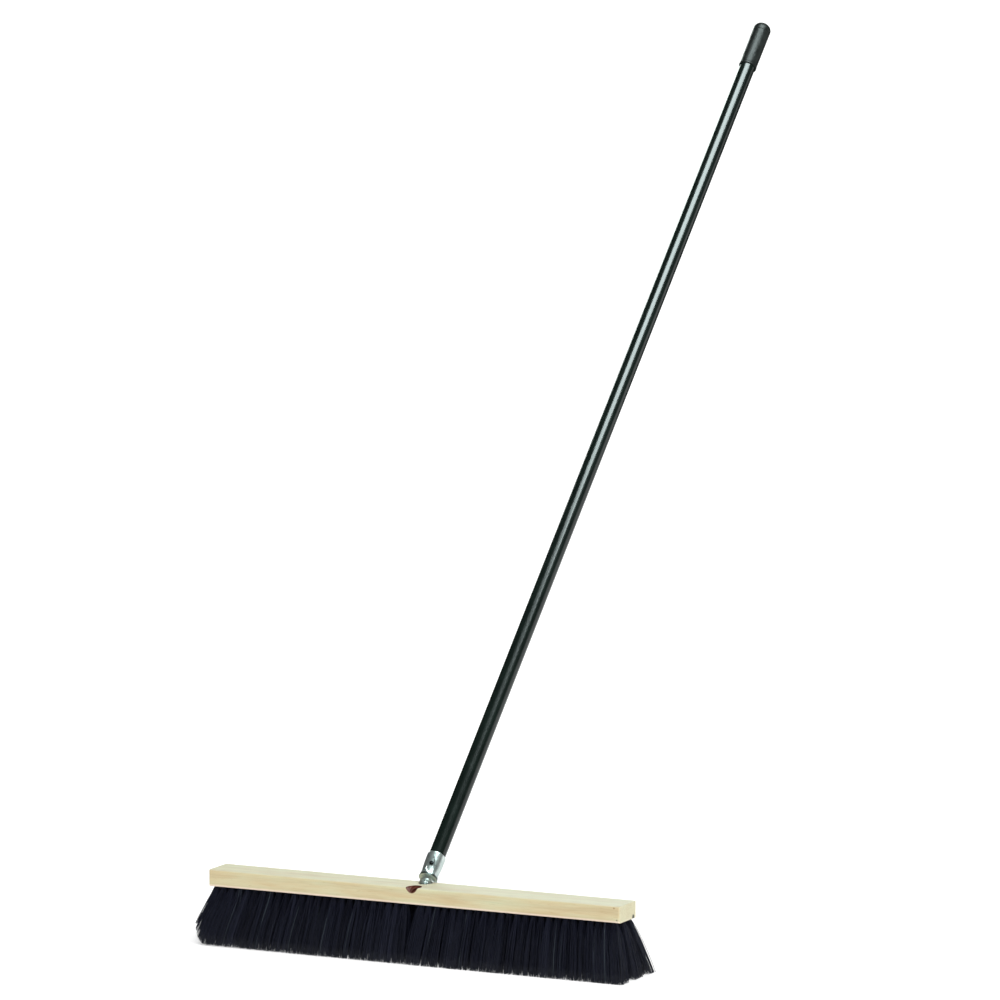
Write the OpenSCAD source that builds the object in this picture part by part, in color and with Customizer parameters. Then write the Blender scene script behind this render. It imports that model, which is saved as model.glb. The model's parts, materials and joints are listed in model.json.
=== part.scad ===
// Push broom: a flat wooden block with five rows of black bristle tufts, and a long
// steel handle whose threaded metal tip screws into one of two sloping sockets.
// X runs along the block, the handle leans towards +Y, Z is up.
// The origin is on the floor, under the middle of the block.

/* [Block] */
// Length of the wooden block
block_l = 609.6; // [450:0.1:620]
// Width of the block, front to back
block_w = 50.8; // [48:0.1:64]
// Thickness of the block
block_h = 22.2; // [21:0.1:32]
// Radius of the long eased edges
edge_r = 1.5; // [1:0.1:3]
// Radius of the four upright corners
corner_r = 3; // [2:0.1:6]

/* [Bristles] */
// Free length of the bristles, from the block to the floor
trim_h = 76.2; // [60:0.1:110]
// Tufts in each odd row
tufts_long_row = 51; // [31:2:51]
// Distance from the block's end to the centre of the end tuft
end_margin = 9.8; // [8:0.1:30]
// Distance between the rows at the block
row_pitch = 9.5; // [9:0.1:10]
// How far the outer rows spread out between the block and the floor
row_spread = 25; // [15:0.5:28]
// How far the end tufts spread out along the block
end_spread = 18.6; // [8:0.1:20]
// How far the tufts beside a socket lean over the place under it that has no tuft
gap_lean = 4.1; // [3.5:0.1:4.1]
// Radius of the drilled tuft holes
tuft_hole_r = 3.4; // [3:0.1:3.6]
// Depth of the drilled tuft holes
tuft_hole_depth = 11; // [8:0.5:11]
// Radius of a tuft at the bottom of its hole
tuft_root_r = 2.6; // [2:0.1:2.7]
// Radius of a tuft where it meets the floor
tuft_tip_r = 7.4; // [7:0.1:7.6]

/* [Staples] */
// Radius of the wire that holds a tuft in its hole
staple_r = 0.6; // [0.4:0.05:0.8]
// Length of the wire: it bites into both sides of the hole
staple_l = 7.6; // [7.4:0.1:8.4]

/* [Sockets] */
// Slope of both sockets from upright
socket_tilt = 45; // [45:1:50]
// Distance from the block's middle line to the point where a socket's axis meets the top
socket_y = 18.5; // [18:0.1:20]
// Radius of a socket across its thread
socket_r = 9.6; // [9.58:0.01:9.62]
// Depth of a socket along its axis, from the block's top
socket_depth = 16.4; // [15:0.1:16.4]

/* [Handle] */
// Outside radius of the steel tube
tube_r = 11.1; // [11:0.05:11.2]
// Wall of the steel tube
tube_wall = 0.9; // [0.7:0.1:1.5]
// Distance from the block's top to the end of the cap, along the handle
handle_l = 1510; // [900:1:1800]

/* [Threaded tip] */
// Outside radius of the thread
thread_r = 9.525; // [9.5:0.005:9.54]
// Pitch of the thread
thread_pitch = 5.08; // [4:0.01:6]
// Depth of the thread
thread_depth = 2.5; // [2:0.1:2.6]
// Gap between the tip's end and the bottom of the socket
tip_gap = 1; // [0.5:0.1:2]
// Radius of the collar around the tube
collar_r = 12.7; // [12.6:0.1:13.5]
// Radius of the lip at the bottom of the collar
lip_r = 12.3; // [12:0.1:12.6]
// Radius of the waist between the lip and the collar
waist_r = 11.4; // [11.3:0.1:11.6]

/* [Rivet] */
// Radius of the rivet's shank
rivet_r = 2; // [1.5:0.1:2.2]
// Radius of the rivet's head
rivet_head_r = 3.1; // [2.6:0.1:3.4]
// Direction of the rivet around the handle
rivet_angle = -75; // [-180:1:180]

/* [End cap] */
// Length of the cap
cap_l = 79; // [50:1:110]
// Outside radius of the cap
cap_r = 12.75; // [12.5:0.05:14]
// Radius of the cap's rounded end
cap_round = 9.5; // [6:0.1:11]

/* [Hidden] */
$fn = 48;

block_top = trim_h + block_h;
tuft_reach = block_l / 2 - end_margin;
tuft_pitch = 2 * tuft_reach / (tufts_long_row - 1);
// Shape of the fan along the block: flat in the middle, steep at the ends
fan_power = 2.5;
// Distance over which the lean beside a socket fades
gap_fade = 21;
// Wood left between a tuft hole and a socket
socket_web = 1;
clear = 0.05;
cut = 60;

// Stations along the handle's axis, measured from the block's top
tip_end = tip_gap - socket_depth;
thread_end = 7.6;
lip_low = 9.3;
lip_high = 13;
waist_high = 19;
collar_low = 30;
collar_high = 45;
tube_low = 20.5;
rivet_t = 24.5;
cap_low = handle_l - cap_l;
cap_bore_high = handle_l - cap_round;
tube_high = cap_bore_high - 0.5;

// Row number counts from the front; the middle row is 3
function row_y(row) = (row - 3) * row_pitch;
function row_fan(row) = (row - 3) / 2 * row_spread;
function is_long(row) = row % 2 == 1;
function row_count(row) = is_long(row) ? tufts_long_row : tufts_long_row - 1;
function tuft_x(row, i) = (i - (row_count(row) - 1) / 2) * tuft_pitch;
function end_fan(x) = sign(x) * end_spread * pow(abs(x) / tuft_reach, fan_power);
function gap_fan(x) = -sign(x) * gap_lean * exp((tuft_pitch - abs(x)) / gap_fade);
function fan(row, x) = end_fan(x) + (row == 3 ? 0 : gap_fan(x));
// A tuft is left out where its hole would break into a socket: the outer rows pass
// beside the socket's round wall, and the inner rows lie under its flat end
function gap_half(row) = is_long(row) ? tuft_pitch / 2 : socket_r + tuft_hole_r + socket_web;
function over_socket(row, x) = row != 3 && abs(x) < gap_half(row);
function tuft_length(row, x) = norm([fan(row, x), row_fan(row), trim_h]);
function row_places(row) =
    [for (i = [0:row_count(row) - 1]) let (x = tuft_x(row, i)) if (!over_socket(row, x)) x];

// Turns +Z to the line of a tuft, with the origin at the hole's mouth
module along_tuft(row, x) {
    dx = fan(row, x);
    dy = row_fan(row);
    translate([x, row_y(row), trim_h])
        rotate([0, 0, atan2(-dy, -dx)])
            rotate([0, acos(trim_h / tuft_length(row, x)), 0])
                children();
}

module along_handle(t = 0) {
    translate([0, socket_y, block_top])
        rotate([-socket_tilt, 0, 0])
            translate([0, 0, t])
                children();
}

module rounded_rect(w, h, r) {
    square([w - 2 * r, h], center = true);
    square([w, h - 2 * r], center = true);
    for (x = [-1, 1], y = [-1, 1])
        translate([x * (w / 2 - r), y * (h / 2 - r)])
            circle(r);
}

module socket_bore() {
    along_handle(-socket_depth)
        cylinder(h = socket_depth + cut, r = socket_r);
}

module block() {
    color("burlywood")
    difference() {
        intersection() {
            translate([-block_l / 2, 0, trim_h + block_h / 2])
                rotate([90, 0, 90])
                    linear_extrude(block_l)
                        rounded_rect(block_w, block_h, edge_r);
            translate([0, 0, trim_h - 1])
                linear_extrude(block_h + 2)
                    rounded_rect(block_l, block_w, corner_r);
        }
        socket_bore();
        mirror([0, 1, 0])
            socket_bore();
        for (row = [1:5], x = row_places(row))
            along_tuft(row, x)
                translate([0, 0, -4])
                    cylinder(h = tuft_hole_depth + 4, r = tuft_hole_r);
    }
}

// The tufts are apart at the block and grow into one brush before they reach the floor
module tufts(row) {
    root = tuft_hole_depth - 0.5;
    grow = (tuft_tip_r - tuft_root_r) / (trim_h + root);
    overrun = 8;
    color([0.07, 0.07, 0.10])
    difference() {
        union() {
            for (x = row_places(row))
                along_tuft(row, x)
                    translate([0, 0, root])
                        mirror([0, 0, 1])
                            cylinder(
                                h = root + tuft_length(row, x) + overrun,
                                r1 = tuft_root_r,
                                r2 = tuft_tip_r + grow * overrun
                            );
        }
        translate([-block_l, -block_l / 2, -cut])
            cube([2 * block_l, block_l, cut]);
    }
}

module staples(row) {
    color("silver")
    for (x = row_places(row))
        along_tuft(row, x)
            translate([0, 0, tuft_hole_depth - 2])
                rotate([0, 90, 0])
                    cylinder(h = staple_l, r = staple_r, center = true);
}

module handle_tube() {
    color([0.05, 0.07, 0.06])
    difference() {
        along_handle(tube_low)
            difference() {
                cylinder(h = tube_high - tube_low, r = tube_r);
                translate([0, 0, -1])
                    cylinder(h = tube_high - tube_low + 2, r = tube_r - tube_wall);
            }
        rivet_hole();
    }
}

// One thread ring: crest and root are flat, the flanks slope
function thread_ring(low) = [
    [thread_r - thread_depth, low],
    [thread_r, low + thread_pitch * 0.18],
    [thread_r, low + thread_pitch * 0.55],
    [thread_r - thread_depth, low + thread_pitch * 0.73]
];

module threaded_tip() {
    rings = floor((thread_end - tip_end) / thread_pitch);
    color([0.78, 0.80, 0.80])
    difference() {
        along_handle()
            rotate_extrude()
                polygon(concat(
                    [[0, tip_end]],
                    [for (i = [0:rings - 1]) each thread_ring(tip_end + i * thread_pitch)],
                    [
                        [thread_r - thread_depth, lip_low],
                        [lip_r - 0.6, lip_low],
                        [lip_r, lip_low + 0.6],
                        [lip_r, lip_high - 0.8],
                        [waist_r, lip_high + 1.2],
                        [waist_r, waist_high],
                        [collar_r, collar_low],
                        [collar_r, collar_high - 0.8],
                        [collar_r - 0.8, collar_high],
                        [tube_r + clear, collar_high],
                        [tube_r + clear, tube_low],
                        [0, tube_low]
                    ]
                ));
        rivet_hole();
    }
}

// Turns +Z outwards from the handle's axis at the rivet's place
module at_rivet() {
    along_handle(rivet_t)
        rotate([0, 0, rivet_angle])
            rotate([0, 90, 0])
                children();
}

module rivet_hole() {
    at_rivet()
        cylinder(h = cut, r = rivet_r + clear);
}

// A blind rivet: a hollow shank, a domed head outside and a spread tail inside
module tip_rivet() {
    tail = 7;
    seat = waist_r + (collar_r - waist_r) * (rivet_t - waist_high) / (collar_low - waist_high);
    inside = tube_r - tube_wall - 0.3;
    color([0.6, 0.62, 0.62])
    at_rivet()
        rotate_extrude()
            polygon([
                [0, tail],
                [rivet_r, tail],
                [rivet_r + 0.8, tail + 0.8],
                [rivet_r + 0.8, inside - 0.4],
                [rivet_r, inside],
                [rivet_r, seat + 0.4],
                [rivet_head_r, seat + 0.4],
                [rivet_head_r - 0.3, seat + 0.9],
                [1.2, seat + 1.2],
                [0.8, seat + 0.9],
                [0.8, seat - 1.5],
                [0, seat - 1.5]
            ]);
}

module end_cap() {
    inner_r = tube_r + 0.07;
    color([0.08, 0.09, 0.09])
    along_handle(cap_low)
        rotate_extrude()
            difference() {
                union() {
                    square([cap_r, cap_l - cap_round]);
                    square([cap_r - cap_round, cap_l]);
                    translate([cap_r - cap_round, cap_l - cap_round])
                        circle(cap_round);
                }
                translate([-cut, -1])
                    square([cut, cap_l + 2]);
                translate([0, -1])
                    square([inner_r, cap_bore_high - cap_low + 1]);
            }
}

block();
tufts(1);  // tufts_row_1
tufts(2);  // tufts_row_2
tufts(3);  // tufts_row_3
tufts(4);  // tufts_row_4
tufts(5);  // tufts_row_5
staples(1);  // staples_row_1
staples(2);  // staples_row_2
staples(3);  // staples_row_3
staples(4);  // staples_row_4
staples(5);  // staples_row_5
handle_tube();
threaded_tip();
tip_rivet();
end_cap();
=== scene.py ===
"""Looks of the push broom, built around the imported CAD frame.

The CAD block, tube, rivet and staples stay and get materials. Each row of tuft cones is
replaced by real filaments, the threaded tip by a cast part with a true helix, and the end
cap by a moulded one. The wood gets threads in both sockets.
"""

import json
import math

import bmesh
import bpy
import numpy as np
from mathutils import Matrix, Vector


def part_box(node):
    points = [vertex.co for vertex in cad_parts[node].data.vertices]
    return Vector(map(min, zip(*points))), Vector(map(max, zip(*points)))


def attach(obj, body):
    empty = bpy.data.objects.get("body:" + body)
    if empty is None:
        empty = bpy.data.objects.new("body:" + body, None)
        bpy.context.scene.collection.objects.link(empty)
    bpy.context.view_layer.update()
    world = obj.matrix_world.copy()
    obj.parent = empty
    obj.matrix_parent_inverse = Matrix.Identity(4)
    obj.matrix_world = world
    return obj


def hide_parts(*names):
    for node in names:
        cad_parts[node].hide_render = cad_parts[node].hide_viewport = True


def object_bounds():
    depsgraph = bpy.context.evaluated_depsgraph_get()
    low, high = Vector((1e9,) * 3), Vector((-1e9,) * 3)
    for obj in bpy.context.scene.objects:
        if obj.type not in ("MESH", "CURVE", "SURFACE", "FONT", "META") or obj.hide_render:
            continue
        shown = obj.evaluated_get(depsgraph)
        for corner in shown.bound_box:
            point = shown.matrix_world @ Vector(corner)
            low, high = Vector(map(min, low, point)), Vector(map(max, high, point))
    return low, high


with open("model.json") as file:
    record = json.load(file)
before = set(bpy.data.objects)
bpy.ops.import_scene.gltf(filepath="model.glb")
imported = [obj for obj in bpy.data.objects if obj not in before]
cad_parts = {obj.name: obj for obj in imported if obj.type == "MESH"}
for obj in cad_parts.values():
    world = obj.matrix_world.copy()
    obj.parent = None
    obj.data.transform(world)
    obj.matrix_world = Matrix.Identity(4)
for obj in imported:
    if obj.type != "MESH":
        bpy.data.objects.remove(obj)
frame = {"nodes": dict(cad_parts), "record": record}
cad_low, cad_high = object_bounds()
nodes = frame["nodes"]

# Sizes repeated from the CAD source, in metres
ROW_PITCH = 0.0095
ROW_SPREAD = 0.025
TUFT_PITCH = 0.0118
LONG_ROW_TUFTS = 51
END_SPREAD = 0.0186
FAN_POWER = 2.5
GAP_LEAN = 0.0041
GAP_FADE = 0.021
SOCKET_Y = 0.0185
SOCKET_R = 0.0096
SOCKET_DEPTH = 0.0164
THREAD_R = 0.009525
THREAD_PITCH = 0.00508
THREAD_DEPTH = 0.0025
TIP_END = -0.0154
TUBE_LOW = 0.0205
TUBE_R = 0.0111
RIVET_ANGLE = math.radians(-75)
HANDLE_L = 1.510
CAP_L = 0.079
CAP_R = 0.01275

# Heights along the handle where the cast tip follows the photograph, not the CAD tip
RUN_OUT = 0.0050
GROOVE_T = 0.0077
COLLAR_TOP = 0.0432

block_low, block_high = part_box("block")
TRIM_H = block_low.z
BLOCK_TOP = block_high.z
TUFT_REACH = TUFT_PITCH * (LONG_ROW_TUFTS - 1) / 2

# The handle's own axes: x along the block, z up the handle
SLOPE = math.sqrt(0.5)
HANDLE_FRAME = Matrix(
    (
        (1, 0, 0, 0),
        (0, SLOPE, SLOPE, SOCKET_Y),
        (0, -SLOPE, SLOPE, BLOCK_TOP),
        (0, 0, 0, 1),
    )
)
SPARE_FRAME = Matrix.Rotation(math.pi, 4, "Z") @ HANDLE_FRAME


# ---------------------------------------------------------------- meshes


def new_object(name, verts, faces):
    """A smooth-shaded mesh object, linked to the scene."""
    mesh = bpy.data.meshes.new(name)
    mesh.from_pydata(verts, [], faces)
    mesh.validate()
    mesh.shade_smooth()
    obj = bpy.data.objects.new(name, mesh)
    bpy.context.scene.collection.objects.link(obj)
    return obj


def clean_normals(obj):
    """Turns every face outwards."""
    bm = bmesh.new()
    bm.from_mesh(obj.data)
    bmesh.ops.recalc_face_normals(bm, faces=bm.faces)
    bm.to_mesh(obj.data)
    bm.free()


def grid_of_rings(name, rings, wrap=False):
    """A skin over rings of points, each ring a list of the same length.

    With wrap the last ring joins the first. Otherwise a flat face closes both ends.
    """
    around = len(rings[0])
    verts = [p for ring in rings for p in ring]
    faces = []
    spans = len(rings) if wrap else len(rings) - 1
    for i in range(spans):
        a, b = i * around, (i + 1) % len(rings) * around
        for j in range(around):
            k = (j + 1) % around
            faces.append((a + j, a + k, b + k, b + j))
    if not wrap:
        faces.append(tuple(reversed(range(around))))
        faces.append(tuple(range(len(verts) - around, len(verts))))
    obj = new_object(name, verts, faces)
    clean_normals(obj)
    return obj


def sharpen(obj, degrees):
    """Marks edges that turn more than this as sharp, so smooth shading breaks there."""
    bm = bmesh.new()
    bm.from_mesh(obj.data)
    limit = math.radians(degrees)
    for e in bm.edges:
        e.smooth = not (len(e.link_faces) == 2 and e.calc_face_angle(0) > limit)
    bm.to_mesh(obj.data)
    bm.free()


def revolve(name, profile, around, axes):
    """A body of revolution from (radius, height) pairs, closed at both ends."""
    rings = []
    for r, z in profile:
        ring = []
        for j in range(around):
            a = 2 * math.pi * j / around
            ring.append(axes @ Vector((r * math.cos(a), r * math.sin(a), z)))
        rings.append(ring)
    return grid_of_rings(name, rings)


# ---------------------------------------------------------------- material tools


class Shader:
    """A Principled material and short ways to add nodes to it."""

    def __init__(self, name, **sockets):
        self.mat = bpy.data.materials.new(name)
        self.mat.use_nodes = True
        self.tree = self.mat.node_tree
        self.bsdf = self.tree.nodes["Principled BSDF"]
        for key, value in sockets.items():
            self.bsdf.inputs[key.replace("_", " ")].default_value = value
        self.point = self.node("ShaderNodeTexCoord").outputs["Object"]

    def node(self, kind, inputs=None, **props):
        """Adds a node. Each input gets a link from a socket, or a plain value."""
        made = self.tree.nodes.new(kind)
        for key, value in props.items():
            setattr(made, key, value)
        for key, value in (inputs or {}).items():
            if isinstance(value, bpy.types.NodeSocket):
                self.tree.links.new(value, made.inputs[key])
            else:
                made.inputs[key].default_value = value
        return made

    def mapped(self, scale=(1, 1, 1), move=(0, 0, 0), turn=(0, 0, 0), vector=None):
        """The object's own coordinates, or vector, turned, scaled and moved."""
        return self.node(
            "ShaderNodeMapping",
            {
                "Vector": self.point if vector is None else vector,
                "Scale": scale,
                "Location": move,
                "Rotation": turn,
            },
        ).outputs["Vector"]

    def noise(self, scale, detail=3.0, rough=0.5, vector=None):
        made = self.node(
            "ShaderNodeTexNoise",
            {
                "Vector": self.point if vector is None else vector,
                "Scale": scale,
                "Detail": detail,
                "Roughness": rough,
            },
        )
        return made.outputs["Fac"]

    def ramp(self, value, stops):
        """A colour ramp. A stop is (place, colour) or (place, grey level)."""
        made = self.node("ShaderNodeValToRGB", {"Fac": value})
        band = made.color_ramp
        while len(band.elements) < len(stops):
            band.elements.new(0.5)
        for element, (at, colour) in zip(band.elements, stops):
            element.position = at
            if not hasattr(colour, "__len__"):
                colour = (colour,) * 3
            element.color = (*colour, 1)
        return made.outputs["Color"]

    def math(self, operation, a, b=0.0, c=0.0):
        made = self.node("ShaderNodeMath", {0: a, 1: b, 2: c}, operation=operation)
        return made.outputs[0]

    def remap(self, value, low, high, to_low=0.0, to_high=1.0):
        """Maps low..high to to_low..to_high, clamped at both ends."""
        made = self.node(
            "ShaderNodeMapRange",
            {0: value, 1: low, 2: high, 3: to_low, 4: to_high},
        )
        return made.outputs[0]

    def mix(self, factor, a, b, blend="MIX"):
        made = self.node("ShaderNodeMix", data_type="RGBA", blend_type=blend)
        # In a mix of colours the sockets 6 and 7 are A and B, and output 2 is the result
        for index, value in ((0, factor), (6, a), (7, b)):
            if isinstance(value, bpy.types.NodeSocket):
                self.tree.links.new(value, made.inputs[index])
            else:
                made.inputs[index].default_value = (
                    value if index == 0 else (*value, 1)
                )
        return made.outputs[2]

    def bump(self, height, strength, distance, normal=None):
        inputs = {"Height": height, "Strength": strength, "Distance": distance}
        if normal is not None:
            inputs["Normal"] = normal
        return self.node("ShaderNodeBump", inputs).outputs["Normal"]

    def drive(self, socket, value):
        """Links value to the Principled socket of that name."""
        self.tree.links.new(value, self.bsdf.inputs[socket])

    def coordinate(self, axis):
        parts = self.node("ShaderNodeSeparateXYZ", {"Vector": self.point})
        return parts.outputs[axis]

    def distance_to(self, place):
        made = self.node(
            "ShaderNodeVectorMath",
            {0: self.point, 1: place},
            operation="DISTANCE",
        )
        return made.outputs["Value"]

    def distance_to_line(self, place, direction):
        """Distance to the line through place. The direction has length 1."""
        away = self.node(
            "ShaderNodeVectorMath", {0: self.point, 1: place}, operation="SUBTRACT"
        )
        cross = self.node(
            "ShaderNodeVectorMath",
            {0: away.outputs[0], 1: direction},
            operation="CROSS_PRODUCT",
        )
        size = self.node(
            "ShaderNodeVectorMath", {0: cross.outputs[0]}, operation="LENGTH"
        )
        return size.outputs["Value"]


def wood_material():
    """Pale basswood: faint rings and fibres along X, and red-brown inside the sockets."""
    s = Shader("wood", Roughness=0.55, Specular_IOR_Level=0.3)
    warp = s.noise(1.0, 2, 0.5, s.mapped((2.2, 26, 26)))
    rings = s.node(
        "ShaderNodeTexWave",
        {
            "Vector": s.mapped((0.35, 1, 1), (0, 0.11, 0.035)),
            "Scale": 30.0,
            "Distortion": 2.6,
            "Detail": 2.0,
            "Detail Scale": 0.9,
            "Detail Roughness": 0.55,
        },
        wave_type="RINGS",
        rings_direction="X",
    ).outputs["Fac"]
    patches = s.noise(1.0, 3, 0.55, s.mapped((9, 55, 70), (0.7, 0, 0)))
    fibres = s.noise(1.0, 4, 0.6, s.mapped((28, 1500, 1500)))
    flecks = s.noise(1.0, 2, 0.5, s.mapped((110, 1400, 1400), (3, 1, 2)))

    base = s.ramp(
        patches,
        [
            (0.30, (0.52, 0.40, 0.225)),
            (0.46, (0.575, 0.49, 0.295)),
            (0.58, (0.585, 0.535, 0.335)),
            (0.74, (0.575, 0.575, 0.375)),
        ],
    )
    grain = s.ramp(rings, [(0.0, 1.0), (0.55, 0.98), (0.86, 0.90), (1.0, 0.95)])
    base = s.mix(0.75, base, grain, "MULTIPLY")
    base = s.mix(
        0.5, base, s.ramp(fibres, [(0.3, 0.8), (0.5, 1.0), (0.75, 1.06)]), "MULTIPLY"
    )
    dark_flecks = s.remap(flecks, 0.665, 0.73)
    base = s.mix(s.math("MULTIPLY", dark_flecks, 0.4), base, (0.36, 0.25, 0.12))
    # The lower edge is painted paler and pinker: a painted highlight along the eased edge
    height = s.coordinate("Z")
    wobble = s.math("MULTIPLY_ADD", warp, 0.0022, -0.0011)
    painted_edge_highlight = s.remap(
        s.math("ADD", height, wobble), TRIM_H + 0.0036, TRIM_H + 0.0014
    )
    base = s.mix(s.math("MULTIPLY", painted_edge_highlight, 0.7), base, (0.86, 0.70, 0.60))
    # The top is painted paler, a painted sheen, and more of it at the right, where painted
    # light from the right falls
    top = s.remap(height, BLOCK_TOP - 0.0012, BLOCK_TOP - 0.0001)
    painted_sheen_rightwards = s.remap(s.coordinate("X"), block_low.x, block_high.x, 0.22, 0.5)
    base = s.mix(s.math("MULTIPLY", top, painted_sheen_rightwards), base, (0.74, 0.77, 0.62))
    # The end faces are porous end grain, and painted paler: painted light
    along = s.math("ABSOLUTE", s.coordinate("X"))
    end_faces = s.remap(along, block_high.x - 0.0016, block_high.x - 0.0002)
    pores = s.noise(900.0, 3, 0.6)
    end_pores_and_light = s.ramp(pores, [(0.32, (0.5, 0.45, 0.28)), (0.55, (0.66, 0.64, 0.45))])
    base = s.mix(s.math("MULTIPLY", end_faces, 0.8), base, end_pores_and_light)
    # Two small knots, and a dark patch at the lower back corner of the right end
    for place, radius, colour, strength in (
        ((0.2965, -0.0254, 0.0957), 0.0016, (0.30, 0.17, 0.08), 0.75),
        ((0.3005, -0.0249, 0.0800), 0.0013, (0.09, 0.09, 0.07), 0.9),
        ((0.3045, 0.0160, 0.0782), 0.0042, (0.05, 0.06, 0.045), 0.95),
    ):
        ragged = s.math("MULTIPLY_ADD", pores, radius * 1.2, -radius * 0.6)
        away = s.math("ADD", s.distance_to(place), ragged)
        mask = s.remap(away, radius, radius * 0.55)
        base = s.mix(s.math("MULTIPLY", mask, strength), base, colour)
    # Both sockets are painted dark red-brown inside
    for axes in (HANDLE_FRAME, SPARE_FRAME):
        gap = s.distance_to_line(
            tuple(axes.translation), tuple(axes.to_3x3() @ Vector((0, 0, 1)))
        )
        inside = s.remap(gap, SOCKET_R + 0.0006, SOCKET_R + 0.0001)
        socket_brown = s.ramp(pores, [(0.3, (0.105, 0.03, 0.018)), (0.7, (0.20, 0.06, 0.037))])
        base = s.mix(inside, base, socket_brown)
    s.drive("Base Color", base)
    s.drive("Roughness", s.ramp(fibres, [(0.25, 0.72), (0.6, 0.5)]))
    fine = s.bump(fibres, 0.18, 0.0003)
    s.drive("Normal", s.bump(rings, 0.06, 0.0006, fine))
    return s.mat


def bristle_material():
    """Blue-black plastic filament. Each one has its own tone, and towards the tips it is
    lighter in patches: dust, and painted light.
    """
    s = Shader("bristle", Specular_IOR_Level=0.35)
    tone = s.node(
        "ShaderNodeAttribute", attribute_name="tone", attribute_type="GEOMETRY"
    ).outputs["Fac"]
    base = s.ramp(
        tone,
        [
            (0.0, (0.0038, 0.0044, 0.0100)),
            (0.55, (0.0088, 0.0104, 0.0220)),
            (0.93, (0.0150, 0.0175, 0.0340)),
            (1.0, (0.060, 0.080, 0.090)),
        ],
    )
    # Towards the floor the filaments are lighter in patches: dust, and painted light
    dust = s.noise(260.0, 3, 0.6)
    low = s.remap(s.coordinate("Z"), 0.045, 0.0)
    dust_and_light = s.math("MULTIPLY", s.remap(dust, 0.35, 0.75), low)
    base = s.mix(s.math("MULTIPLY", dust_and_light, 0.28), base, (0.030, 0.034, 0.045))
    s.drive("Base Color", base)
    s.drive("Roughness", s.ramp(dust, [(0.3, 0.42), (0.7, 0.62)]))
    return s.mat


def tube_material():
    """Green-black gloss coating on a tube, with faint drawing lines and orange peel."""
    s = Shader(
        "coated_tube",
        Specular_IOR_Level=0.32,
        Coat_Weight=0.12,
        Coat_Roughness=0.12,
    )
    turned = s.mapped(turn=(math.radians(45), 0, 0))
    lines = s.noise(1.0, 3, 0.6, s.mapped((900, 900, 6), vector=turned))
    clouds = s.noise(38.0, 3, 0.55)
    peel = s.noise(520.0, 2, 0.5)
    scuffs = s.remap(
        s.noise(1.0, 5, 0.72, s.mapped((420, 420, 55), vector=turned)), 0.66, 0.74
    )
    base = s.ramp(
        clouds,
        [(0.3, (0.0045, 0.0085, 0.0070)), (0.7, (0.0075, 0.0140, 0.0115))],
    )
    base = s.mix(s.math("MULTIPLY", scuffs, 0.35), base, (0.045, 0.055, 0.052))
    s.drive("Base Color", base)
    rough = s.ramp(lines, [(0.3, 0.19), (0.7, 0.27)])
    s.drive("Roughness", s.mix(s.math("MULTIPLY", scuffs, 0.6), rough, (0.5,) * 3))
    fine = s.bump(lines, 0.04, 0.0002)
    s.drive("Normal", s.bump(peel, 0.05, 0.0004, fine))
    return s.mat


def zinc_material():
    """Die-cast zinc: bright, slightly green, with a cast skin, grime, and painted shade in
    the groove above the lip.
    """
    s = Shader("zinc", Metallic=0.88)
    skin = s.noise(750.0, 4, 0.62)
    blotch = s.noise(150.0, 3, 0.6)
    grime = s.remap(s.noise(320.0, 5, 0.7), 0.56, 0.72)
    base = s.ramp(
        blotch, [(0.3, (0.60, 0.70, 0.68)), (0.7, (0.83, 0.90, 0.87))]
    )
    base = s.mix(s.math("MULTIPLY", grime, 0.5), base, (0.26, 0.33, 0.32))
    # The groove above the lip is painted dark, painted shade under the collar. The groove
    # is a place along the handle
    up = HANDLE_FRAME.to_3x3() @ Vector((0, 0, 1))
    groove_at = up.dot(HANDLE_FRAME.translation) + GROOVE_T
    along = s.node(
        "ShaderNodeVectorMath", {0: s.point, 1: tuple(up)}, operation="DOT_PRODUCT"
    ).outputs["Value"]
    groove = s.remap(
        s.math("ABSOLUTE", s.math("SUBTRACT", along, groove_at)), 0.0021, 0.0014
    )
    base = s.mix(s.math("MULTIPLY", groove, 0.9), base, (0.045, 0.065, 0.065))
    s.drive("Base Color", base)
    s.drive("Roughness", s.ramp(skin, [(0.3, 0.24), (0.7, 0.42)]))
    s.drive("Normal", s.bump(skin, 0.22, 0.0003))
    return s.mat


def steel_material(name, dark, bright, rough):
    """Drawn or pressed steel with fine scratches."""
    s = Shader(name, Metallic=1.0)
    scratches = s.noise(1.0, 4, 0.65, s.mapped((500, 2600, 2600)))
    s.drive("Base Color", s.ramp(scratches, [(0.3, dark), (0.7, bright)]))
    s.drive("Roughness", s.ramp(scratches, [(0.3, rough), (0.7, rough + 0.16)]))
    s.drive("Normal", s.bump(scratches, 0.12, 0.0002))
    return s.mat


def cap_material():
    """Moulded black plastic with a fine spark-eroded grain and a few rub marks."""
    s = Shader("cap_plastic", Specular_IOR_Level=0.17)
    grain = s.noise(1900.0, 2, 0.5)
    dents = s.noise(190.0, 2, 0.6)
    cloud = s.noise(70.0, 3, 0.6)
    rubs = s.remap(s.noise(1.0, 5, 0.75, s.mapped((260, 130, 130))), 0.62, 0.72)
    base = s.ramp(cloud, [(0.3, (0.010, 0.013, 0.012)), (0.7, (0.017, 0.022, 0.020))])
    base = s.mix(s.math("MULTIPLY", rubs, 0.3), base, (0.07, 0.08, 0.075))
    s.drive("Base Color", base)
    s.drive("Roughness", s.ramp(cloud, [(0.3, 0.34), (0.7, 0.46)]))
    s.drive("Normal", s.bump(grain, 0.16, 0.0002, s.bump(dents, 0.5, 0.0006)))
    return s.mat


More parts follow.
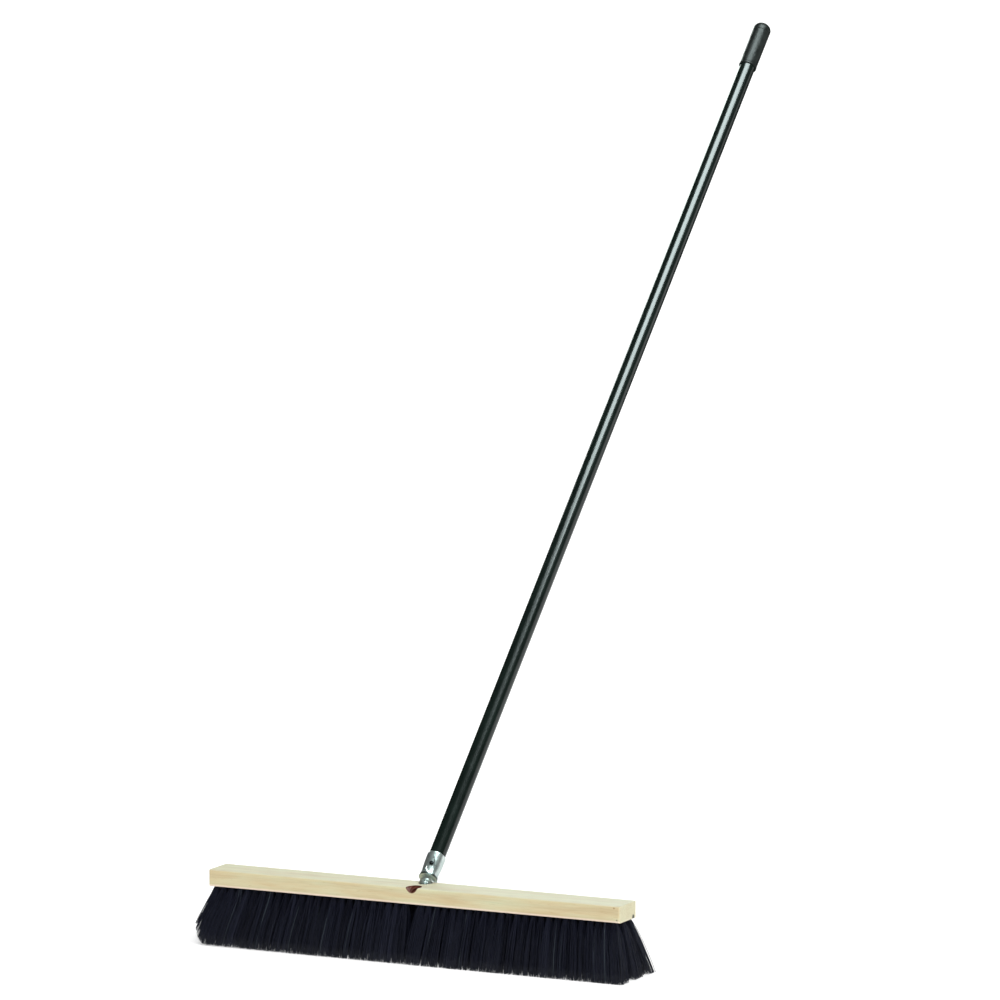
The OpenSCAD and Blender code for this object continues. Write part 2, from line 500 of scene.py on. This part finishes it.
def floor_material():
    """Pale, nearly even floor that glows a little, so it shows white round the broom."""
    s = Shader("floor", Roughness=0.9, Specular_IOR_Level=0.1, Emission_Strength=0.3)
    s.bsdf.inputs["Emission Color"].default_value = (1, 1, 1, 1)
    s.drive("Base Color", s.ramp(s.noise(1.2, 2), [(0.3, 0.90), (0.7, 0.92)]))
    return s.mat


materials = {
    "wood": wood_material(),
    "bristle": bristle_material(),
    "coated_tube": tube_material(),
    "zinc": zinc_material(),
    "rivet_steel": steel_material(
        "rivet_steel", (0.014, 0.017, 0.019), (0.045, 0.05, 0.05), 0.4
    ),
    "staple_wire": steel_material(
        "staple_wire", (0.48, 0.50, 0.51), (0.72, 0.74, 0.75), 0.26
    ),
    "cap_plastic": cap_material(),
}
slot_of = {p["node"]: p["material_slot"] for p in frame["record"]["subparts"]}


def finish_piece(obj, slot):
    """Puts the slot's material on obj."""
    obj.data.materials.clear()
    obj.data.materials.append(materials[slot])


for node_name, node in nodes.items():
    finish_piece(node, slot_of[node_name])


# ---------------------------------------------------------------- bristles

SEED = 400
FILAMENTS = 92  # in a tuft
END_FILAMENTS = 150  # in a tuft near an end of the block
END_TUFTS = 0.27  # where those tufts start
RINGS = 8  # of three corners, along a filament
FILAMENT_R = 0.00036
MOUTH_R = 0.0032  # radius of a tuft where it leaves the wood
SPREAD_X = 0.0075  # half widths of a tuft at the floor
SPREAD_Y = 0.0115
END_REACH = 1.2  # how much wider a tuft near an end is at the floor
SWING = 0.3  # radians that a filament turns about its tuft's middle line
FREE_LENGTH = 0.0812
EXTRA_LENGTH = 0.0035  # added at the right, and again at the back
TIP_LOW, TIP_RANGE = 0.0001, 0.0007  # the lowest tips end this far above the floor
MIDDLE_ROW = 3
EVEN_ROW_GAP = 0.014  # half of the gap that rows 2 and 4 leave for the sockets
NEAR_SOCKETS = 0.02
TUFT_SCATTER = 0.0005
TIP_SCATTER = 0.0004
LENGTH_SCATTER = 0.0003
BOX_MARGIN = 0.0006  # filaments end this far inside the CAD box
WORN_START, WORN_WIDTH, WORN_SHARE = 0.300, 0.0205, 0.33
CRIMP, CRIMP_RADIANS = 0.00022, 23.0
PALE_SHARE, PALE_TONE = 0.006, 0.985


def prism_faces(many):
    """Faces of many three-sided prisms whose corners are listed ring by ring."""
    start = np.arange(many)[:, None, None, None] * RINGS * 3
    step = np.arange(RINGS - 1)[None, :, None, None] * 3
    here = np.arange(3)[None, None, :, None]
    after = (here + 1) % 3
    quads = np.concatenate(
        [
            start + step + here,
            start + step + 3 + here,
            start + step + 3 + after,
            start + step + after,
        ],
        3,
    ).reshape(-1, 4)
    first = np.arange(many) * RINGS * 3
    last = first + (RINGS - 1) * 3
    tips = np.stack([last, last + 2, last + 1], 1)
    roots = np.stack([first, first + 1, first + 2], 1)
    return quads.tolist() + tips.tolist() + roots.tolist()


def row_of_bristles(row):
    """Every filament of one row of tufts, as three-sided tapered prisms in one mesh."""
    rng = np.random.default_rng(SEED + row)
    middle = row == MIDDLE_ROW
    count = LONG_ROW_TUFTS if row % 2 else LONG_ROW_TUFTS - 1
    xs = (np.arange(count) - (count - 1) / 2) * TUFT_PITCH
    gap = TUFT_PITCH / 2 if row % 2 else EVEN_ROW_GAP
    if not middle:
        xs = xs[np.abs(xs) > gap]
    fan = np.sign(xs) * END_SPREAD * (np.abs(xs) / TUFT_REACH) ** FAN_POWER
    if not middle:
        fan -= np.sign(xs) * GAP_LEAN * np.exp((TUFT_PITCH - np.abs(xs)) / GAP_FADE)
    row_y = (row - MIDDLE_ROW) * ROW_PITCH
    row_fan = (row - MIDDLE_ROW) / 2 * ROW_SPREAD

    at_end = np.abs(xs) > END_TUFTS
    in_tuft = np.where(at_end, END_FILAMENTS, FILAMENTS)
    tuft = np.repeat(np.arange(len(xs)), in_tuft)
    many = len(tuft)
    radius = np.sqrt(rng.random(many))
    angle = rng.random(many) * 2 * np.pi
    swing = angle + rng.normal(0, SWING, many)
    # The middle line of each tuft, then each filament's own way out from it
    root = np.stack([xs[tuft], np.full(many, row_y)], 1)
    lean = rng.normal(0, TUFT_SCATTER, (len(xs), 2))
    tip = np.stack([(xs + fan)[tuft], np.full(many, row_y + row_fan)], 1) + lean[tuft]
    out_low = MOUTH_R * radius[:, None] * np.stack([np.cos(angle), np.sin(angle)], 1)
    # The tufts press each other square, so their tips fill the corners too
    square = np.maximum(np.abs(np.cos(swing)), np.abs(np.sin(swing))) ** -0.95
    reach = radius**0.85 * square * np.where(at_end[tuft], END_REACH, 1)
    out_high = np.stack([np.cos(swing) * SPREAD_X, np.sin(swing) * SPREAD_Y], 1)
    out_high *= reach[:, None]
    out_high += rng.normal(0, TIP_SCATTER, (many, 2))
    # The head reaches as far behind the middle as in front of it. The box's other far
    # side is the handle's.
    low, high = (np.array(corner)[:2] for corner in (cad_low, cad_high))
    high[1] = -low[1]
    end = np.clip(tip + out_high, low + BOX_MARGIN, high - BOX_MARGIN)
    out_high = end - tip

    side = np.linalg.norm(end - root - out_low, axis=1)
    # The left and the front are worn a little shorter than the right and the back
    spare = EXTRA_LENGTH * (end[:, 0] > 0) + EXTRA_LENGTH * (end[:, 1] > 0)
    free = FREE_LENGTH + spare + rng.normal(0, LENGTH_SCATTER, many)
    drop = np.sqrt(np.maximum(free**2 - side**2, 1e-8))
    tip_z = np.maximum(TRIM_H - drop, rng.random(many) * TIP_RANGE + TIP_LOW)

    # Places of the rings along a filament: 0 at the wood, 1 at the tip
    share = np.concatenate([[-0.055, 0.0, 0.09], np.linspace(0.22, 1, RINGS - 3)])
    # The outermost bristles of the left end are worn short, which rounds its corner
    worn = np.clip((-end[:, 0] - WORN_START) / WORN_WIDTH, 0, 1)
    share = share[None, :] * (1 - WORN_SHARE * worn**1.6)[:, None]
    # Tufts curve on their way out, but towards the right end they are straight
    bend = np.where(xs > 0, 0.5 - 0.5 * np.clip(xs / TUFT_REACH, 0, 1) ** 4, 0.5)
    bend = bend[tuft][:, None]
    ease = np.where(share < 0, 0, share**2 * (3 - 2 * share))
    curve = (1 - bend) * share + bend * ease
    # Beside the sockets, where tufts are left out, the others splay sooner
    power = np.where(np.abs(xs) < NEAR_SOCKETS, 6.0, 3.4)[tuft][:, None]
    flare = np.where(share < 0, 0, 1 - (1 - np.clip(share, 0, 1)) ** power)
    centre = np.empty((many, RINGS, 3))
    centre[:, :, :2] = root[:, None, :] + (tip - root)[:, None, :] * curve[:, :, None]
    centre[:, :, :2] += out_low[:, None, :] * (1 - flare)[:, :, None]
    centre[:, :, :2] += out_high[:, None, :] * flare[:, :, None]
    centre[:, :, 2] = TRIM_H + (tip_z - TRIM_H)[:, None] * share
    # Crimp: a small wave across each filament, growing away from the root
    wave = rng.random(many)[:, None] * 2 * np.pi + share * CRIMP_RADIANS
    heading = rng.random(many) * 2 * np.pi
    size = CRIMP * np.clip(share * 4, 0, 1) * np.sin(wave)
    centre[:, :, 0] += size * np.cos(heading)[:, None]
    centre[:, :, 1] += size * np.sin(heading)[:, None]

    thick = FILAMENT_R * (1 - 0.25 * np.clip(share, 0, 1))
    spin = rng.random(many) * 2 * np.pi
    corner = spin[:, None] + np.arange(3)[None, :] * 2 * np.pi / 3
    offset = np.stack([np.cos(corner), np.sin(corner), np.zeros_like(corner)], 2)
    verts = centre[:, :, None, :] + offset[:, None, :, :] * thick[:, :, None, None]
    verts[..., :2] = np.clip(verts[..., :2], low + 1e-5, high - 1e-5)

    name = f"bristles_row_{row}"
    mesh = bpy.data.meshes.new(name)
    mesh.from_pydata(verts.reshape(-1, 3).tolist(), [], prism_faces(many))
    mesh.shade_smooth()
    tone_of_tuft = rng.normal(0, 0.12, len(xs))
    tone = np.clip(rng.beta(2.2, 2.2, many) * 0.8 + 0.06 + tone_of_tuft[tuft], 0, 0.92)
    tone[rng.random(many) < PALE_SHARE] = PALE_TONE
    attribute = mesh.attributes.new("tone", "FLOAT", "POINT")
    attribute.data.foreach_set("value", np.repeat(tone, RINGS * 3).astype(np.float32))
    obj = bpy.data.objects.new(name, mesh)
    bpy.context.scene.collection.objects.link(obj)
    finish_piece(obj, "bristle")
    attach(obj, "head")
    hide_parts(f"tufts_row_{row}")


for row_number in range(1, 6):
    row_of_bristles(row_number)


# ---------------------------------------------------------------- threads


def acme(turns, flank=0.13, crest=0.37):
    """Height of the thread, 0 to 1, at a place counted in pitches."""
    u = turns % 1.0
    if u < flank:
        return u / flank
    if u < flank + crest:
        return 1.0
    if u < 2 * flank + crest:
        return 1 - (u - flank - crest) / flank
    return 0.0


def bump_height(turns, centre, half_top, half_base):
    """Height of a ridge, 0 to 1, whose middle is at centre within each pitch."""
    u = abs((turns - centre + 0.5) % 1.0 - 0.5)
    return min(1.0, max(0.0, (half_base - u) / (half_base - half_top)))


def clamp01(x):
    return min(1.0, max(0.0, x))


CORE_R = THREAD_R - THREAD_DEPTH
POCKET_DEPTH = 0.00085
POCKET_FLOOR = 0.01128  # the pockets stay outside this radius, to clear the tube
# Height and radius of the cast tip above its thread: lip, groove, waist and collar
TIP_PROFILE = (
    (RUN_OUT, CORE_R),
    (0.0054, CORE_R),
    (0.0056, 0.0121),
    (0.0059, 0.0128),
    (0.0063, 0.0131),
    (0.0067, 0.0130),
    (0.0071, 0.0123),
    (0.0078, 0.0122),
    (0.0082, 0.0126),
    (0.0100, 0.0123),
    (0.0125, 0.0119),
    (0.0150, 0.0118),
    (0.0176, 0.0119),
    (0.0200, 0.0121),
    (0.0285, 0.01262),
    (0.0310, 0.0127),
    (COLLAR_TOP - 0.0012, 0.0127),
    (COLLAR_TOP - 0.0005, 0.0125),
    (COLLAR_TOP - 0.0001, 0.0121),
    (COLLAR_TOP, 0.0118),
)
TIP_HEIGHTS, TIP_RADII = zip(*TIP_PROFILE)


def tip_radius(t, angle):
    """Outer radius of the cast tip at height t. It is threaded up to RUN_OUT."""
    if t <= RUN_OUT + 1e-9:
        turns = (t - TIP_END) / THREAD_PITCH - angle / (2 * math.pi)
        fade = clamp01((t - TIP_END) / 0.0022) * clamp01((RUN_OUT - t) / 0.0016)
        return CORE_R + THREAD_DEPTH * acme(turns) * fade**0.7
    r = float(np.interp(t, TIP_HEIGHTS, TIP_RADII))
    return r - pocket(t, angle) * min(POCKET_DEPTH, r - POCKET_FLOOR)


def pocket(t, angle):
    """Depth share of the two drop-shaped pockets, the front one around the rivet."""
    low, wide, high, half_width = 0.0110, 0.0195, 0.0345, 0.0056
    collar_r, soft = 0.0121, 0.0006
    if t < wide:
        edge = half_width * math.sqrt(max(0.0, 1 - ((wide - t) / (wide - low)) ** 2))
    elif t < high:
        edge = half_width * (1 - (t - wide) / (high - wide)) ** 0.8
    else:
        edge = 0.0
    best = 0.0
    for turn in (0, math.pi):
        across = (angle - RIVET_ANGLE - turn + math.pi) % (2 * math.pi) - math.pi
        best = max(best, clamp01((edge - abs(across) * collar_r) / soft))
    return best


def threaded_tip():
    """The zinc casting: a threaded end, a lip, and a collar with a bore for the tube."""
    around = 216
    stations = list(np.arange(TIP_END, RUN_OUT, THREAD_PITCH / 26))
    stations += list(np.arange(RUN_OUT, 0.0142, 0.0002))
    stations += list(np.arange(0.0142, COLLAR_TOP - 0.0045, 0.0004))
    below_top = (0.0035, 0.0025, 0.0016, 0.0012, 0.0008, 0.0005, 0.0003, 0.0001, 0)
    stations += [COLLAR_TOP - gap for gap in below_top]
    rings = []
    angles = [2 * math.pi * j / around for j in range(around)]

    def ring(radius_of, t):
        points = []
        for a in angles:
            r = radius_of(a)
            points.append(HANDLE_FRAME @ Vector((r * math.cos(a), r * math.sin(a), t)))
        return points

    def flat(radius):
        return lambda a: radius

    # Outside upwards, over the collar's edge, and down the bore to its floor
    rings.append(ring(flat(0.0010), TIP_END))
    rings.append(ring(flat(0.0060), TIP_END))
    for t in stations:
        rings.append(ring(lambda a, t=t: tip_radius(t, a), t))
    bore = TUBE_R + 0.00005
    for radius, t in (
        (bore + 0.0003, COLLAR_TOP),
        (bore, COLLAR_TOP - 0.0003),
        (bore, 0.0350),
        (bore, TUBE_LOW),
        (0.0010, TUBE_LOW),
    ):
        rings.append(ring(flat(radius), t))
    obj = grid_of_rings("cast_tip", rings)
    sharpen(obj, 38)
    finish_piece(obj, "zinc")
    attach(obj, "handle")
    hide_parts("threaded_tip")


threaded_tip()


RIDGE_HEIGHT = 0.00235
RIDGE_FOOT_R = SOCKET_R + 0.00004  # just inside the wood, so that it joins on
RIDGE_BACK_R = SOCKET_R + 0.00025
RIDGE_FADE = 0.003  # the ridge runs out over this much below the socket's mouth
FACE_GAP = 0.00006  # and ends this far below the block's faces


def socket_thread(name, axes, faces_out):
    """The thread in a socket's wall, cut off at the block's faces.

    faces_out holds a point and the outward normal of each face that the socket opens on.
    """
    around = 144
    lowest, highest = -SOCKET_DEPTH + 0.0002, 0.0125
    stations = np.arange(lowest, highest, THREAD_PITCH / 18)
    up = axes.to_3x3() @ Vector((0, 0, 1))

    def mouth(r, a):
        """Height at which a line up the wall at this radius and angle leaves the wood."""
        base = axes @ Vector((r * math.cos(a), r * math.sin(a), 0))
        return min(
            (Vector(place) - base).dot(Vector(normal)) / up.dot(Vector(normal))
            for place, normal in faces_out
        )

    def wall(r, a, t):
        t = min(t, mouth(r, a))
        return axes @ Vector((r * math.cos(a), r * math.sin(a), t))

    inner = []
    outer = []
    for t in stations:
        ring_in, ring_out = [], []
        for j in range(around):
            a = 2 * math.pi * j / around
            turns = (t - TIP_END) / THREAD_PITCH - a / (2 * math.pi)
            # The ridge fills the space between two turns of the tip's thread
            high = bump_height(turns, 0.815, 0.155, 0.285)
            rim = min(mouth(RIDGE_FOOT_R, a), mouth(SOCKET_R - RIDGE_HEIGHT, a))
            high *= clamp01((rim - t) / RIDGE_FADE)
            ring_in.append(wall(RIDGE_FOOT_R - RIDGE_HEIGHT * high, a, t))
            ring_out.append(wall(RIDGE_BACK_R, a, t))
        inner.append(ring_in)
        outer.append(ring_out)
    obj = grid_of_rings(name, inner + outer[::-1], wrap=True)
    bm = bmesh.new()
    bm.from_mesh(obj.data)
    bmesh.ops.remove_doubles(bm, verts=bm.verts, dist=1e-6)
    bmesh.ops.dissolve_degenerate(bm, edges=bm.edges, dist=1e-6)
    bmesh.ops.recalc_face_normals(bm, faces=bm.faces)
    bm.to_mesh(obj.data)
    bm.free()
    sharpen(obj, 35)
    finish_piece(obj, "wood")
    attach(obj, "head")


top_face = ((0, 0, BLOCK_TOP - FACE_GAP), (0, 0, 1))
socket_thread(
    "back_socket_thread",
    HANDLE_FRAME,
    (top_face, ((0, block_high.y - FACE_GAP, 0), (0, 1, 0))),
)
socket_thread(
    "spare_socket_thread",
    SPARE_FRAME,
    (top_face, ((0, block_low.y + FACE_GAP, 0), (0, -1, 0))),
)


# ---------------------------------------------------------------- end cap


def end_cap():
    """A moulded cap: bore, rim bead, slightly tapered body, groove and domed end."""
    low = HANDLE_L - CAP_L
    bore_r, bore_top = TUBE_R + 0.00008, low + 0.0695
    profile = [
        (0.0006, bore_top),
        (bore_r, bore_top),
        (bore_r, low + 0.0008),
        (TUBE_R + 0.0006, low),
        (CAP_R - 0.0004, low),
        (CAP_R - 0.0001, low + 0.0002),
        (CAP_R, low + 0.0006),
        (CAP_R, low + 0.0026),
        (CAP_R - 0.0001, low + 0.0030),
        (CAP_R - 0.00035, low + 0.0033),
        (CAP_R - 0.0004, low + 0.0038),
    ]
    for share in np.linspace(0.0, 1.0, 8)[1:]:
        profile.append((CAP_R - 0.0004 + 0.0002 * share, low + 0.0038 + 0.0592 * share))
    groove = low + 0.0640
    for turn in np.linspace(0, math.pi, 7):
        depth = 0.0004 * math.sin(turn)
        profile.append((CAP_R - 0.0002 - depth, groove + 0.0008 * (turn / math.pi)))
    dome = 0.0095
    profile.append((CAP_R - 0.0002, HANDLE_L - dome - 0.002))
    for turn in np.linspace(0, math.pi / 2, 15):
        profile.append(
            (
                CAP_R - dome - 0.0001 + dome * math.cos(turn),
                HANDLE_L - dome + dome * math.sin(turn),
            )
        )
    profile.append((0.0006, HANDLE_L))
    obj = revolve("cap", profile, 96, HANDLE_FRAME)
    sharpen(obj, 40)
    finish_piece(obj, "cap_plastic")
    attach(obj, "cap")
    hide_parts("end_cap")


end_cap()


# ---------------------------------------------------------------- studio

EDGE = 60.0  # half the floor's width
floor = new_object(
    "floor",
    [(-EDGE, -EDGE, 0), (EDGE, -EDGE, 0), (EDGE, EDGE, 0), (-EDGE, EDGE, 0)],
    [(0, 1, 2, 3)],
)
floor.data.materials.append(floor_material())
floor.visible_glossy = False


def glow_card(name, place, size, strength, tint):
    """A level bright card that only reflections see."""
    w, h = size[0] / 2, size[1] / 2
    corners = [(-w, -h, 0), (w, -h, 0), (w, h, 0), (-w, h, 0)]
    card = new_object(name, corners, [(0, 1, 2, 3)])
    card.location = place
    mat = bpy.data.materials.new(name)
    mat.use_nodes = True
    tree = mat.node_tree
    tree.nodes.clear()
    light = tree.nodes.new("ShaderNodeEmission")
    light.inputs["Color"].default_value = (*tint, 1)
    light.inputs["Strength"].default_value = strength
    out = tree.nodes.new("ShaderNodeOutputMaterial")
    tree.links.new(light.outputs[0], out.inputs["Surface"])
    card.data.materials.append(mat)
    card.visible_camera = card.visible_diffuse = card.visible_shadow = False


# The floor is hidden from reflections, and this card just under it takes its place
glow_card("table_card", (0.9, 1.35, -0.002), (3.6, 4.6), 0.95, (0.97, 1, 0.99))

world = bpy.data.worlds.new("studio")
world.use_nodes = True
world.node_tree.nodes["Background"].inputs["Color"].default_value = (1, 1, 1, 1)
world.node_tree.nodes["Background"].inputs["Strength"].default_value = 0.62
bpy.context.scene.world = world
world.cycles_visibility.glossy = False


def aim(obj, target):
    """Points a lamp at target."""
    way = Vector(target) - obj.location
    obj.rotation_mode = "QUATERNION"
    obj.rotation_quaternion = way.to_track_quat("-Z", "Y")


def softbox(name, place, target, size, radiance, tint=(1, 1, 1)):
    """A rectangular lamp of the given width and height that only reflections see."""
    lamp = bpy.data.lights.new(name, "AREA")
    lamp.shape = "RECTANGLE"
    lamp.size, lamp.size_y = size
    lamp.energy = radiance * math.pi * size[0] * size[1]
    lamp.color = tint
    obj = bpy.data.objects.new(name, lamp)
    obj.location = place
    bpy.context.scene.collection.objects.link(obj)
    aim(obj, target)
    obj.visible_camera = False
    obj.visible_diffuse = False


def sun(name, direction, energy, degrees):
    """A wide, soft sun that reflections don't see."""
    lamp = bpy.data.lights.new(name, "SUN")
    lamp.energy = energy
    lamp.angle = math.radians(degrees)
    obj = bpy.data.objects.new(name, lamp)
    bpy.context.scene.collection.objects.link(obj)
    obj.location = Vector(direction) * -4
    aim(obj, (0, 0, 0))
    obj.visible_glossy = False


sun("key", (-0.55, 0.60, -0.75), 2.0, 60)
# The bright stripe along the handle, its right edge, and the light on the collar's top
softbox("stripe", (0.50, 0.59, 2.5), (0.50, 0.59, 0), (1.4, 1.06), 21.5, (0.86, 1, 1))
softbox("right_wall", (3.2, 3.2, 0.75), (0, 0.5, 0.5), (2.4, 2.2), 1.3)
softbox("back_top", (-1.7, 3.6, 1.5), (0, 0, 0.1), (3.0, 1.3), 4.0, (0.86, 1, 0.93))

camera_data = bpy.data.cameras.new("camera")
camera_data.lens = 281.64
camera_data.sensor_width = 36.0
camera_data.clip_start = 0.1
camera_data.clip_end = 200.0
camera = bpy.data.objects.new("camera", camera_data)
bpy.context.scene.collection.objects.link(camera)
# The photograph's viewing angle. Azimuth 0 is straight in front of the block.
LOOK_AT = Vector((0.0589, 0.1192, 0.6017))
AZIMUTH, ELEVATION, DISTANCE = math.radians(26.385), math.radians(7.635), 10.3704
back = Vector(
    (
        math.sin(AZIMUTH) * math.cos(ELEVATION),
        -math.cos(AZIMUTH) * math.cos(ELEVATION),
        math.sin(ELEVATION),
    )
)
camera.location = LOOK_AT + back * DISTANCE
camera.rotation_mode = "QUATERNION"
camera.rotation_quaternion = (-back).to_track_quat("-Z", "Y")
bpy.context.scene.camera = camera
bpy.context.scene.view_settings.view_transform = "Standard"
bpy.context.scene.view_settings.look = "None"
